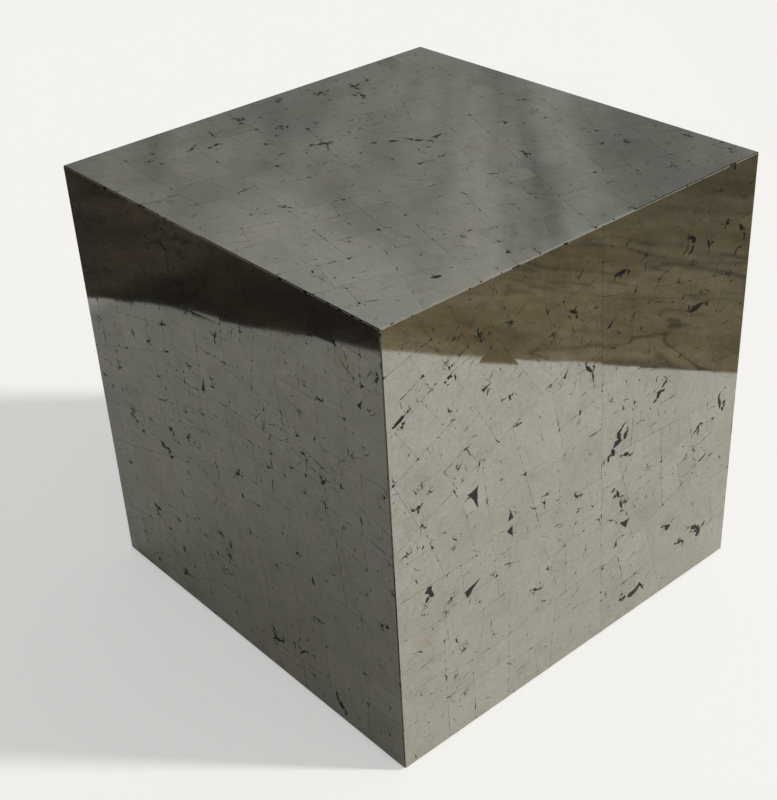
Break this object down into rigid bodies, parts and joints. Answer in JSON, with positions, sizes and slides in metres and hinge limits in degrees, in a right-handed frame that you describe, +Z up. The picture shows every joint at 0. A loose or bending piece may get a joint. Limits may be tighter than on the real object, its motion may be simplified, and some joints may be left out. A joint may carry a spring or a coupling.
{
  "type": "side table",
  "caption": "Cube side table clad on five faces in polished pyrite slices set in black resin, over a plywood carcass on four hidden screw glides.",
  "frame": {"origin": "on the floor under the middle of the cube", "axes": "+Z up through the top face, -Y out of the front face, +X to the right seen from the front"},
  "size_m": [0.45, 0.45, 0.45],
  "materials": {
    "pyrite": "polished",
    "resin": "satin",
    "plywood": "satin",
    "softwood": "matte",
    "zinc": "satin",
    "nylon": "satin",
    "felt": "matte"
  },
  "bodies": {
    "table": {"pyrite_mosaic_top": "pyrite", "resin_bed_top": "resin", "carcass_top_board": "plywood", "pyrite_mosaic_front": "pyrite", "resin_bed_front": "resin", "carcass_front_board": "plywood", "base_rail_front": "softwood", "pyrite_mosaic_right": "pyrite", "resin_bed_right": "resin", "carcass_right_board": "plywood", "base_rail_right": "softwood", "pyrite_mosaic_back": "pyrite", "resin_bed_back": "resin", "carcass_back_board": "plywood", "base_rail_back": "softwood", "pyrite_mosaic_left": "pyrite", "resin_bed_left": "resin", "carcass_left_board": "plywood", "base_rail_left": "softwood", "base_board": "plywood", "base_screw_front_1": "zinc", "base_screw_front_2": "zinc", "base_screw_right_1": "zinc", "base_screw_right_2": "zinc", "base_screw_back_1": "zinc", "base_screw_back_2": "zinc", "base_screw_left_1": "zinc", "base_screw_left_2": "zinc", "corner_post_front_left": "softwood", "top_screw_front_left": "zinc", "insert_nut_front_left": "zinc", "corner_post_front_right": "softwood", "top_screw_front_right": "zinc", "insert_nut_front_right": "zinc", "corner_post_back_right": "softwood", "top_screw_back_right": "zinc", "insert_nut_back_right": "zinc", "corner_post_back_left": "softwood", "top_screw_back_left": "zinc", "insert_nut_back_left": "zinc"},
    "glide_pad_front_left": {"glide_pad_front_left": "nylon", "glide_sole_front_left": "felt"},
    "glide_stem_front_left": {"glide_stem_front_left": "zinc"},
    "glide_pad_front_right": {"glide_pad_front_right": "nylon", "glide_sole_front_right": "felt"},
    "glide_stem_front_right": {"glide_stem_front_right": "zinc"},
    "glide_pad_back_right": {"glide_pad_back_right": "nylon", "glide_sole_back_right": "felt"},
    "glide_stem_back_right": {"glide_stem_back_right": "zinc"},
    "glide_pad_back_left": {"glide_pad_back_left": "nylon", "glide_sole_back_left": "felt"},
    "glide_stem_back_left": {"glide_stem_back_left": "zinc"}
  },
  "joints": [
    {"name": "glide_travel_front_left", "type": "slide", "parent": "table", "child": "glide_pad_front_left", "axis": [0, 0, -1], "range_m": [0, 0.012]},
    {"name": "glide_turn_front_left", "type": "hinge", "parent": "glide_pad_front_left", "child": "glide_stem_front_left", "pos_m": [-0.15, -0.15, 0], "axis": [0, 0, -1], "range_deg": [0, 2880]},
    {"name": "glide_travel_front_right", "type": "slide", "parent": "table", "child": "glide_pad_front_right", "axis": [0, 0, -1], "range_m": [0, 0.012]},
    {"name": "glide_turn_front_right", "type": "hinge", "parent": "glide_pad_front_right", "child": "glide_stem_front_right", "pos_m": [0.15, -0.15, 0], "axis": [0, 0, -1], "range_deg": [0, 2880]},
    {"name": "glide_travel_back_right", "type": "slide", "parent": "table", "child": "glide_pad_back_right", "axis": [0, 0, -1], "range_m": [0, 0.012]},
    {"name": "glide_turn_back_right", "type": "hinge", "parent": "glide_pad_back_right", "child": "glide_stem_back_right", "pos_m": [0.15, 0.15, 0], "axis": [0, 0, -1], "range_deg": [0, 2880]},
    {"name": "glide_travel_back_left", "type": "slide", "parent": "table", "child": "glide_pad_back_left", "axis": [0, 0, -1], "range_m": [0, 0.012]},
    {"name": "glide_turn_back_left", "type": "hinge", "parent": "glide_pad_back_left", "child": "glide_stem_back_left", "pos_m": [-0.15, 0.15, 0], "axis": [0, 0, -1], "range_deg": [0, 2880]}
  ],
  "couplings": [
    {"joint": "glide_turn_front_left", "follows": "glide_travel_front_left", "rad_per_m": 4188.8},
    {"joint": "glide_turn_front_right", "follows": "glide_travel_front_right", "rad_per_m": 4188.8},
    {"joint": "glide_turn_back_right", "follows": "glide_travel_back_right", "rad_per_m": 4188.8},
    {"joint": "glide_turn_back_left", "follows": "glide_travel_back_left", "rad_per_m": 4188.8}
  ]
}
